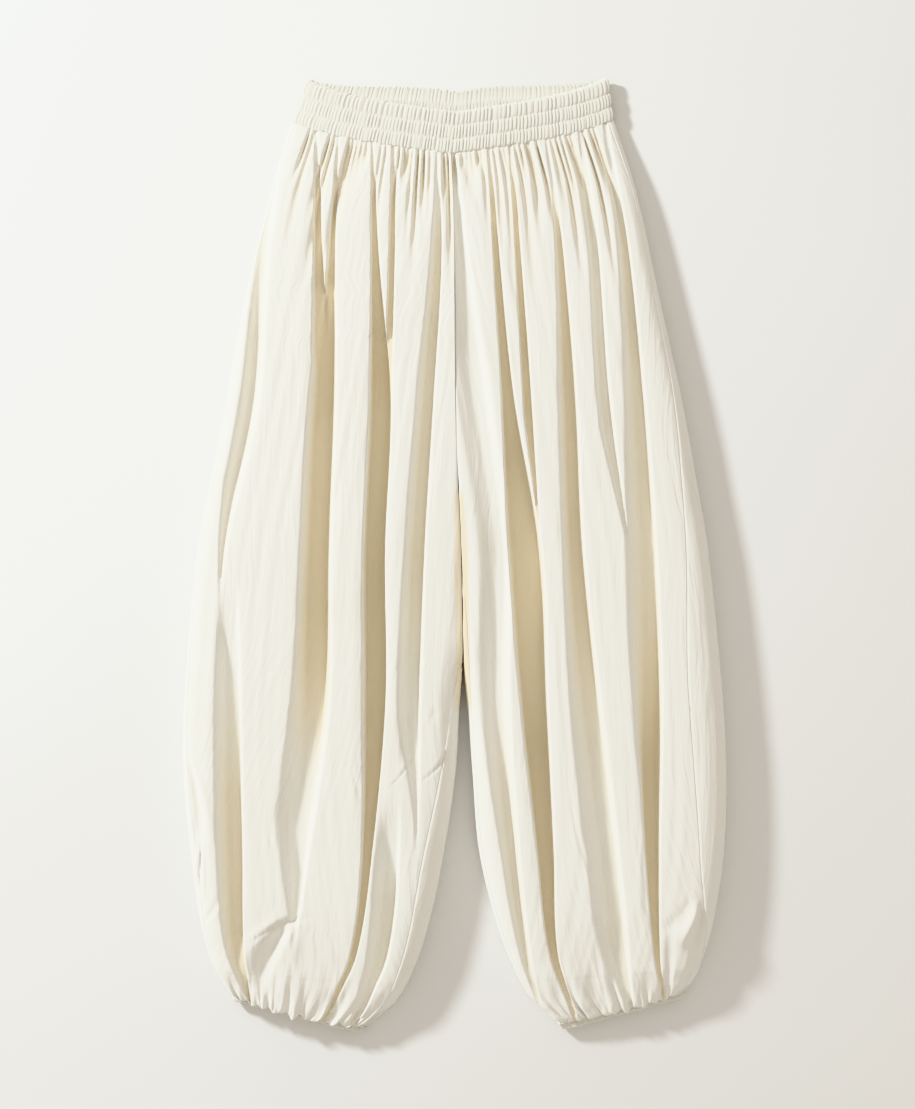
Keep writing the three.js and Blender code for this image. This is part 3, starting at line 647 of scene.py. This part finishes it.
def run_along(spans):
    """The distance run along each row of spans, from nought."""
    lengths = np.linalg.norm(spans, axis=-1)
    return np.concatenate([np.zeros((len(lengths), 1)), np.cumsum(lengths, axis=1)], axis=1)


# Where the rows of a panel's grid lie, and how its columns are spread: a steep side counts for less than its
# length, so the flat cloth keeps enough of them.
row_shares = (0.0, 0.20, 0.57, 0.83, 1.0)
row_downs = (-0.0015, 0.080, 0.650, 0.868, leg_length + 0.0010)
upright_weight = 0.4
section_steps = 1600
rim_step = 1e-6


def panel_points(side, first, last, rows, columns):
    """A panel's grid of points, each with its painted shade, and each point's distance round the cloth and
    down it. Rows are closer together at the waist and at the ankle."""
    down = np.interp(np.linspace(0, 1, rows), row_shares, row_downs)[:, None]
    cut = cut_at(side, down)
    out_in = read_table(seams[side], seam_keys, "out_in", down) / cut.width
    in_in = read_table(seams[side], seam_keys, "in_in", down) / cut.width
    seam = {"outer": place_at(out_in), "inner": 1 - place_at(in_in)}
    start = seam[first] + rim_step
    end = seam[last] + (2 if last == "outer" else 0) - rim_step
    dense = leg_points(cut, start + (end - start) * np.linspace(0, 1, section_steps)[None, :])
    spans = np.diff(dense[..., :3], axis=1)
    round_cloth = run_along(spans)
    spread = run_along(spans * (1, 1, upright_weight))
    points = np.empty((rows, columns, 4))
    distance = np.empty((rows, columns))
    for r in range(rows):
        wanted = np.linspace(0, spread[r, -1], columns)
        for axis in range(4):
            points[r, :, axis] = np.interp(wanted, spread[r], dense[r, :, axis])
        distance[r] = np.interp(wanted, spread[r], round_cloth[r]) - round_cloth[r, -1] / 2
    points[..., 1] += cut_to_frame
    return points, distance, np.broadcast_to(down, distance.shape)


cloth_thickness = 0.0006


def cloth_grid(name, points, across, down):
    """A sheet of cloth on a grid of points, with a map of the cloth in metres. A fourth number for each
    point is its painted shade, 0 to 1."""
    rows, columns = points.shape[:2]
    bpy.ops.mesh.primitive_grid_add(x_subdivisions=columns - 1, y_subdivisions=rows - 1, size=1)
    sheet = bpy.context.object
    sheet.name = name
    sheet.data.name = name
    sheet.data.vertices.foreach_set("co", points[::-1, :, :3].reshape(-1))
    hollow = sheet.data.attributes.new("hollow", "FLOAT", "POINT")
    if points.shape[-1] == 4:
        hollow.data.foreach_set("value", points[::-1, :, 3].reshape(-1))
    corner = np.empty(len(sheet.data.loops), dtype=np.int32)
    sheet.data.loops.foreach_get("vertex_index", corner)
    layer = sheet.data.uv_layers[0]
    layer.name = "cloth"
    flat = np.stack([across, -down], axis=-1)[::-1].reshape(-1, 2)
    layer.uv.foreach_set("vector", flat[corner].reshape(-1))
    sheet.data.update()
    bpy.ops.object.shade_smooth()
    return sheet


def add_wall(sheet, thickness):
    wall = sheet.modifiers.new("wall", "SOLIDIFY")
    wall.thickness = thickness
    wall.offset = -1
    bpy.context.view_layer.objects.active = sheet
    bpy.ops.object.modifier_apply(modifier="wall")


# The cloth is a light plain weave with a soft sheen. Its yarns vary in thickness, so fine slubs run both
# ways and the tone shifts a little along them, and long faint crinkles run down it, with painted shade in
# the colour of their furrows.
yarns_per_metre = 2600.0
slub_depth = 1.2
slub_scale = 900.0
slub_stretches = ((1.0, 0.045), (0.06, 1.0))
cross_slub = 0.6
slub_tone = 0.7
crinkle_scale = 170.0
crinkle_stretch = 0.09
crinkle_depth = 34.0
weave_bump = 0.35
weaving = bpy.data.node_groups.new("slub_weave", "ShaderNodeTree")
for socket, way in (("Yarns", "INPUT"), ("Slub", "INPUT"), ("Height", "OUTPUT"), ("Tone", "OUTPUT")):
    weaving.interface.new_socket(name=socket, in_out=way, socket_type="NodeSocketFloat")


def place_node(tree, kind, **values):
    node = tree.nodes.new(kind)
    for key, value in values.items():
        if hasattr(node, key):
            setattr(node, key, value)
        else:
            node.inputs[key.replace("_", " ")].default_value = value
    return node


def maths(tree, operation, first, second):
    node = tree.nodes.new("ShaderNodeMath")
    node.operation = operation
    for socket, value in zip(node.inputs, (first, second)):
        if isinstance(value, (int, float)):
            socket.default_value = value
        else:
            tree.links.new(value, socket)
    return node.outputs[0]


link = weaving.links.new
group_in = weaving.nodes.new("NodeGroupInput")
group_out = weaving.nodes.new("NodeGroupOutput")
cloth_map = place_node(weaving, "ShaderNodeUVMap", uv_map="cloth")
split = weaving.nodes.new("ShaderNodeSeparateXYZ")
link(cloth_map.outputs["UV"], split.inputs[0])
yarn_u = maths(weaving, "MULTIPLY", split.outputs[0], group_in.outputs["Yarns"])
yarn_v = maths(weaving, "MULTIPLY", split.outputs[1], group_in.outputs["Yarns"])
warp = maths(weaving, "SINE", maths(weaving, "MULTIPLY", yarn_u, 2 * math.pi), 0)
weft = maths(weaving, "SINE", maths(weaving, "MULTIPLY", yarn_v, 2 * math.pi), 0)
weave = maths(weaving, "MULTIPLY", maths(weaving, "MAXIMUM", warp, weft), 0.5)
streaks = []
for stretch_u, stretch_v in slub_stretches:
    joined = weaving.nodes.new("ShaderNodeCombineXYZ")
    link(maths(weaving, "MULTIPLY", split.outputs[0], stretch_u), joined.inputs[0])
    link(maths(weaving, "MULTIPLY", split.outputs[1], stretch_v), joined.inputs[1])
    slub = place_node(weaving, "ShaderNodeTexNoise", Scale=slub_scale, Detail=3.0, Roughness=0.6)
    link(joined.outputs[0], slub.inputs["Vector"])
    streaks.append(slub.outputs["Fac"])
crinkle_place = weaving.nodes.new("ShaderNodeCombineXYZ")
link(split.outputs[0], crinkle_place.inputs[0])
link(maths(weaving, "MULTIPLY", split.outputs[1], crinkle_stretch), crinkle_place.inputs[1])
crinkle = place_node(weaving, "ShaderNodeTexNoise", Scale=crinkle_scale, Detail=3.0, Distortion=0.4)
link(crinkle_place.outputs[0], crinkle.inputs["Vector"])
crinkles = maths(weaving, "MULTIPLY", crinkle.outputs["Fac"], crinkle_depth)
slubs = maths(weaving, "ADD", streaks[0], maths(weaving, "MULTIPLY", streaks[1], cross_slub))
slub_height = maths(weaving, "MULTIPLY", slubs, group_in.outputs["Slub"])
relief = maths(weaving, "ADD", maths(weaving, "ADD", weave, slub_height), crinkles)
link(relief, group_out.inputs["Height"])
# The tone follows the slubs, and the crinkles too: paler on their ridges and darker in their furrows, as
# painted shade.
slub_tone_and_crinkle_shade = maths(weaving, "ADD", maths(weaving, "MULTIPLY", slubs, slub_tone), crinkle.outputs["Fac"])
link(slub_tone_and_crinkle_shade, group_out.inputs["Tone"])

# Painted shade: deep in a fold and in the gap between the legs the cloth's colour is made warmer and darker,
# for the shade there and the light that has crossed the cloth many times.
hollow_tint = (0.985, 0.918, 0.785)
roughness_swing = 0.06
soft_finish = {
    "Specular IOR Level": 0.2,
    "Diffuse Roughness": 0.7,
    "Sheen Weight": 0.10,
    "Sheen Roughness": 0.45,
    "Sheen Tint": (1.0, 0.98, 0.93, 1),
}


def ivory_cloth(name, pale, warm, roughness):
    """The ivory cloth's finish: woven, softly shining, a touch warmer in the thin places of its slubs, with
    painted shade in its crinkles and its folds.
    """
    finish = bpy.data.materials.new(name)
    finish.use_nodes = True
    tree = finish.node_tree
    shader = tree.nodes["Principled BSDF"]
    for socket, value in soft_finish.items():
        shader.inputs[socket].default_value = value
    threads = tree.nodes.new("ShaderNodeGroup")
    threads.node_tree = weaving
    threads.inputs["Yarns"].default_value = yarns_per_metre
    threads.inputs["Slub"].default_value = slub_depth
    cloud_place = tree.nodes.new("ShaderNodeTexCoord")
    cloud = place_node(tree, "ShaderNodeTexNoise", Scale=9.0, Detail=4.0)
    tree.links.new(cloud_place.outputs["Object"], cloud.inputs["Vector"])
    varied = maths(tree, "ADD", maths(tree, "MULTIPLY", threads.outputs["Tone"], 0.5), cloud.outputs["Fac"])
    tone = tree.nodes.new("ShaderNodeValToRGB")
    tone.color_ramp.elements[0].position = 0.55
    tone.color_ramp.elements[0].color = (*warm, 1)
    tone.color_ramp.elements[1].color = (*pale, 1)
    tree.links.new(varied, tone.inputs["Fac"])
    # Painted shade: the mask stored on the mesh multiplies the colour towards the warm painted-shade tint.
    depth = place_node(tree, "ShaderNodeAttribute", attribute_name="hollow")
    shade = place_node(tree, "ShaderNodeMix", data_type="RGBA", blend_type="MULTIPLY")
    shade.inputs["B"].default_value = (*hollow_tint, 1)
    tree.links.new(depth.outputs["Fac"], shade.inputs["Factor"])
    tree.links.new(tone.outputs["Color"], shade.inputs["A"])
    tree.links.new(shade.outputs["Result"], shader.inputs["Base Color"])
    rough = tree.nodes.new("ShaderNodeMapRange")
    rough.inputs["To Min"].default_value = roughness - roughness_swing
    rough.inputs["To Max"].default_value = roughness + roughness_swing
    tree.links.new(threads.outputs["Tone"], rough.inputs["Value"])
    tree.links.new(rough.outputs["Result"], shader.inputs["Roughness"])
    raised = place_node(tree, "ShaderNodeBump", Strength=weave_bump, Distance=0.0001)
    tree.links.new(threads.outputs["Height"], raised.inputs["Height"])
    tree.links.new(raised.outputs["Normal"], shader.inputs["Normal"])
    return finish


panel_cloth = ivory_cloth("ivory_panel_cloth", (0.885, 0.877, 0.826), (0.815, 0.797, 0.728), 0.66)


def cloth_panel(name, side, first, last, rows, columns):
    """A leg panel from one seam to the other. The right leg's grid is turned about, to face outwards too."""
    points, across, down = panel_points(side, first, last, rows, columns)
    if side == "right":
        points, across, down = points[:, ::-1], -across[:, ::-1], down[:, ::-1]
    panel = cloth_grid(name, points, across, down)
    add_wall(panel, cloth_thickness)
    panel.data.materials.append(panel_cloth)
    return panel


front_rows, front_columns = 255, 190
for side in ("left", "right"):
    front = cloth_panel(f"front_cloth_{side}", side, "outer", "inner", front_rows, front_columns)
    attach(front, "root")
    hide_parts(f"front_panel_{side}")

# Back leg panels. They are cut like the fronts and lie flat on the floor under them. At the outer edge of
# the right leg and the inner edge of the left one they roll up over the edge onto the front.
back_rows, back_columns = 170, 120
for side in ("left", "right"):
    back = cloth_panel(f"back_cloth_{side}", side, "inner", "outer", back_rows, back_columns)
    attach(back, "root")
    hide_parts(f"back_panel_{side}")

# Waistband. A strip of the same cloth is folded over three elastics, with a row of stitching between each
# two, so it stands in three soft channels with close gathers. The front dips lower than the back, and the
# inside of the back shows above it.
band_depth = 0.016
band_wall = 0.005
channel_count = 3
channel_pitches = (0.0037, 0.0038, 0.0050)
channel_groove = 0.0016
gather_relief = 0.0015
band_top = {"left": -0.1565, "right": 0.1615}
band_tuck = 0.0012
band_corner = 0.28
loop_steps = 40001
wave_draw = np.random.default_rng(5)


def slow_waves(distance, shortest, longest, count=9):
    """A smooth uneven wave along a band, between about -1 and 1."""
    height = 0
    for _ in range(count):
        length = wave_draw.uniform(shortest, longest)
        phase = wave_draw.uniform(*any_phase)
        height = height + np.sin(2 * np.pi * distance / length + phase) / math.sqrt(count / 2)
    return height / 1.5


def band_loop(width, depth, columns):
    """The flattened loop of an elastic band, evenly spaced: over the front from the outer end, and back
    underneath."""
    place = np.linspace(0, 2, loop_steps)
    share = share_at(place)
    squash = np.sign(np.sin(np.pi * place)) * np.abs(np.sin(np.pi * place)) ** band_corner
    across, height = share * width, depth / 2 * (1 + squash)
    run = np.concatenate([[0], np.cumsum(np.hypot(np.diff(across), np.diff(height)))])
    distance = np.linspace(0, run[-1], columns)
    loop = SimpleNamespace(distance=distance, length=run[-1])
    loop.across, loop.height = np.interp(distance, run, across), np.interp(distance, run, height)
    loop.front = np.interp(distance, run, place) <= 1
    return loop


def inside_loop(loop, depth_in):
    """The loop drawn in by a depth on every side, so that it never crosses itself at its tight ends."""
    width, middle = loop.across.max(), loop.height.max() / 2
    across = depth_in + loop.across * (1 - 2 * depth_in / width)
    return across, middle + (loop.height - middle) * (1 - depth_in / middle)


# How uneven the close gathers are: how far slow and quick waves bend them, as a share of a pitch, how sharp
# their furrows are, and how strongly they show from place to place.
gather_bend, gather_quick_bend = 0.32, 0.2
ridge_power = 0.42
gather_strength, gather_strength_swing, gather_least = 0.8, 0.3, 0.45
channel_shift = 0.013


def gathers_along(distance, length, pitch, shift):
    """Close uneven gathers: 1 on a ridge and 0 in the sharp furrow between two."""
    count = round(length / pitch)
    bend = gather_bend * slow_waves(distance + shift, length / 9, length / 3)
    bend = bend + gather_quick_bend * slow_waves(distance, 2.2 * pitch, 6 * pitch)
    bend = bend * np.sin(np.pi * distance / length) ** 0.2
    ridge = (0.5 + 0.5 * np.cos(2 * np.pi * (count * distance / length + bend))) ** ridge_power
    strength = gather_strength + gather_strength_swing * slow_waves(distance, 3 * pitch, 9 * pitch)
    return mix(1, ridge, np.clip(strength, gather_least, 1))


# A gathered band's section: the rows up each channel, where its gathers run over into the next one's, how
# much weaker they are there, how the inside follows the outside, and how the two edges bow.
channel_steps = 13
cross_over_from, cross_over_span = 0.36, 0.28
edge_relief = 0.45
inside_swell, inside_relief = 0.7, 0.5
top_bow, bottom_bow = 0.0009, -0.0004
frill_height = 0.0005
frill_rise = 0.97
cloth_fullness = 1.5
mapped_column = 10


def gathered_band(name, loop, height, wall, channels, pitches, groove, relief, place_of):
    """A closed ring of gathered cloth over elastic. place_of turns a rise and a depth into points."""
    in_channel = np.linspace(0, 1, channel_steps)[:-1]
    outer_rise = [(c + t) / channels for c in range(channels) for t in in_channel] + [1.0]
    profile = [("outer", rise) for rise in outer_rise]
    profile += [("turn", t) for t in (0.25, 0.5, 0.75)]
    profile += [("inner", rise) for rise in outer_rise[::-2]]
    profile += [("under", t) for t in (0.33, 0.67)]
    profile.append(profile[0])
    fields = []
    for k, pitch in enumerate(pitches):
        fields.append(gathers_along(loop.distance, loop.length, pitch, channel_shift * k))
    frill = slow_waves(loop.distance, 0.004, 0.012) * frill_height
    rows = []
    for kind, value in profile:
        rise = {"turn": 1.0, "under": 0.0}.get(kind, value)
        channel = min(int(rise * channels), channels - 1)
        within = rise * channels - channel
        swell = math.sqrt(max(0.0, 1 - (2 * within - 1) ** 2))
        near = channel + (1 if within > 0.5 else -1)
        past = max(0.0, abs(within - 0.5) - cross_over_from)
        cross = past / cross_over_span if 0 <= near < channels else 0
        field = mix(fields[channel], fields[min(max(near, 0), channels - 1)], cross)
        edge_depth = groove * (1 - swell) + relief * (1 - field) * mix(edge_relief, 1, swell)
        inner_depth = wall + groove + relief - groove * swell * inside_swell
        inner_depth = inner_depth - inside_relief * relief * (1 - field)
        if kind == "outer":
            depth_in = edge_depth
        elif kind == "inner":
            depth_in = inner_depth
        else:
            depth_in = mix(edge_depth, inner_depth, value if kind == "turn" else 1 - value)
        bow = math.sin(math.pi * value) if kind in ("turn", "under") else 0
        lift = bow * (top_bow if kind == "turn" else bottom_bow)
        edge = frill * (1 if kind == "turn" or rise > frill_rise else 0)
        rows.append(place_of(rise * height + lift + edge, depth_in))
    points = np.stack(rows)
    points[:, -1] = points[:, 0]
    rise_map = run_along(np.diff(points[:, mapped_column], axis=0)[None])[0]
    across = np.broadcast_to(loop.distance * cloth_fullness, points.shape[:2])
    band = cloth_grid(name, points, across, -np.broadcast_to(rise_map[:, None], points.shape[:2]))
    bpy.ops.object.mode_set(mode="EDIT")
    bpy.ops.mesh.select_all(action="SELECT")
    bpy.ops.mesh.remove_doubles(threshold=0.000002)
    bpy.ops.mesh.normals_make_consistent(inside=False)
    bpy.ops.object.mode_set(mode="OBJECT")
    return band


left_top, right_top = cut_at("left", np.zeros(1)), cut_at("right", np.zeros(1))
waist_width = float(right_top.out_x[0] - left_top.out_x[0])
waist_columns = 1321
waist_loop = band_loop(waist_width, band_depth, waist_columns)


def waist_seam_y(x, front):
    """The line that the panels' top edges follow, on the front and on the back."""
    lines = []
    for cut in (left_top, right_top):
        share = np.clip((x - cut.out_x) / (cut.in_x - cut.out_x), 0, 1)
        y = mix(cut.out_y, cut.in_y, share)
        dipped = y - cut.front_sag * np.sin(np.pi * share**sag_power)
        raised = y + cut.back_rise * ramp(share, 0, 1)
        lines.append(np.where(front, dipped, raised))
    return np.where(x < (left_top.in_x + right_top.in_x) / 2, lines[0], lines[1])


waist_low_y = waist_seam_y(left_top.out_x + waist_loop.across, waist_loop.front)
scallop_height = 0.0007
waist_scallop = slow_waves(waist_loop.distance, 0.006, 0.03) * scallop_height


def waist_place(rise, depth_in):
    up = rise / band_height
    across, height = inside_loop(waist_loop, depth_in)
    left_x = mix(left_top.out_x, band_top["left"], up)
    right_x = mix(right_top.out_x, band_top["right"], up)
    x = mix(left_x, right_x, across / waist_width)
    y = waist_low_y + seam_gap + rise + cut_to_frame + (1 - up) * (waist_scallop - band_tuck)
    return np.stack(np.broadcast_arrays(x, y, height), axis=-1)


# Painted shade: the waistband and the casings use the panels' cloth made a little darker and warmer, for the
# shade of their close gathers.
band_cloth_painted_shade = ivory_cloth("ivory_band_cloth", (0.80, 0.79, 0.725), (0.76, 0.745, 0.665), 0.70)
waistband = gathered_band("waistband_cloth", waist_loop, band_height, band_wall, channel_count,
                          channel_pitches, channel_groove, gather_relief, waist_place)
waistband.data.materials.append(band_cloth_painted_shade)
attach(waistband, "root")
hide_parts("waistband")

# Ankle casings. The hem of each leg is turned up over one narrow elastic, finely gathered.
cuff_height = 0.0075
cuff_depth = 0.014
cuff_wall = 0.0018
cuff_inset = 0.0015
cuff_overlap = 0.001
cuff_pitches = (0.0042,)
cuff_groove, cuff_relief = 0.0012, 0.001
cuff_columns = 521
cuff_wave_height = 0.0006
casing_stitch_rise, casing_stitch_depth = 0.3, 0.0003
casing_lines = {}
for side in ("left", "right"):
    hem = cut_at(side, np.full(1, leg_length))
    outer = np.array([hem.out_x[0], hem.out_y[0] + cut_to_frame])
    inner = np.array([hem.in_x[0], hem.in_y[0] + cut_to_frame])
    along = inner - outer
    hem_width = float(np.hypot(*along))
    along /= hem_width
    outer = outer + along * cuff_inset
    hem_width -= 2 * cuff_inset
    drop_way = np.array([along[1], -along[0]]) * (1 if along[0] > 0 else -1)
    hem_loop = band_loop(hem_width, cuff_depth, cuff_columns)
    hem_wave = slow_waves(hem_loop.distance, 0.02, 0.07) * cuff_wave_height

    def hem_place(rise, depth_in):
        across, height = inside_loop(hem_loop, depth_in)
        drop = seam_gap + cuff_height - rise + hem_wave
        flat = outer + across[:, None] * along + np.asarray(drop)[:, None] * drop_way
        return np.column_stack([flat, height])

    cuff = gathered_band(f"ankle_casing_cloth_{side}", hem_loop, cuff_height + cuff_overlap, cuff_wall, 1,
                         cuff_pitches, cuff_groove, cuff_relief, hem_place)
    casing_lines[side] = hem_place(casing_stitch_rise * cuff_height, casing_stitch_depth)
    cuff.data.materials.append(band_cloth_painted_shade)
    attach(cuff, "root")
    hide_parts(f"ankle_casing_{side}")

# Stitching. Short stitches of pale thread run along the lines between the waistband's channels, and one row
# runs round each ankle casing where its hem is caught down.
stitch_length = 0.0018
stitch_pitch = 0.0026
stitch_thickness = 0.0004
thread, thread_shader = clouded_finish("pale_thread", 1500.0, 2.0, (0.76, 0.74, 0.66), (0.85, 0.83, 0.76))
thread_shader.inputs["Roughness"].default_value = 0.6
thread_shader.inputs["Sheen Weight"].default_value = 0.2


def stitches_along(name, paths):
    """One stitch, copied along closed lines of points on the cloth."""
    bpy.ops.object.select_all(action="DESELECT")
    bpy.ops.mesh.primitive_uv_sphere_add(segments=6, ring_count=4, radius=0.5)
    stitch = bpy.context.object
    one = np.array([tuple(vertex.co) for vertex in stitch.data.vertices])
    one = one * (stitch_thickness, stitch_thickness, stitch_length)
    faces = [tuple(face.vertices) for face in stitch.data.polygons]
    corners, all_faces = [], []
    for path in paths:
        run = run_along(np.diff(path, axis=0)[None])[0]
        for k in range(round(run[-1] / stitch_pitch)):
            middle = (k + 0.5) * stitch_pitch
            ends = [np.array([np.interp(at, run, path[:, axis]) for axis in range(3)])
                    for at in (middle - stitch_length / 2, middle + stitch_length / 2)]
            forward = ends[1] - ends[0]
            forward /= np.linalg.norm(forward)
            side = np.cross(forward, (0, 1, 0))
            side /= np.linalg.norm(side)
            turn = np.stack([side, np.cross(forward, side), forward])
            all_faces += [tuple(i + len(corners) * len(one) for i in face) for face in faces]
            corners.append(one @ turn + (ends[0] + ends[1]) / 2)
    stitch.data.clear_geometry()
    stitch.data.from_pydata(np.concatenate(corners).tolist(), [], all_faces)
    stitch.name = name
    stitch.data.name = name
    bpy.ops.object.mode_set(mode="EDIT")
    bpy.ops.mesh.select_all(action="SELECT")
    bpy.ops.mesh.normals_make_consistent(inside=False)
    bpy.ops.object.mode_set(mode="OBJECT")
    bpy.ops.object.shade_smooth()
    stitch.data.materials.append(thread)
    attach(stitch, "root")


row_rises = [band_height * k / channel_count for k in range(1, channel_count)]
waist_lines = [waist_place(rise, channel_groove) for rise in row_rises]
stitches_along("waistband_stitches", waist_lines)
for side, path in casing_lines.items():
    stitches_along(f"ankle_casing_stitches_{side}", [path])
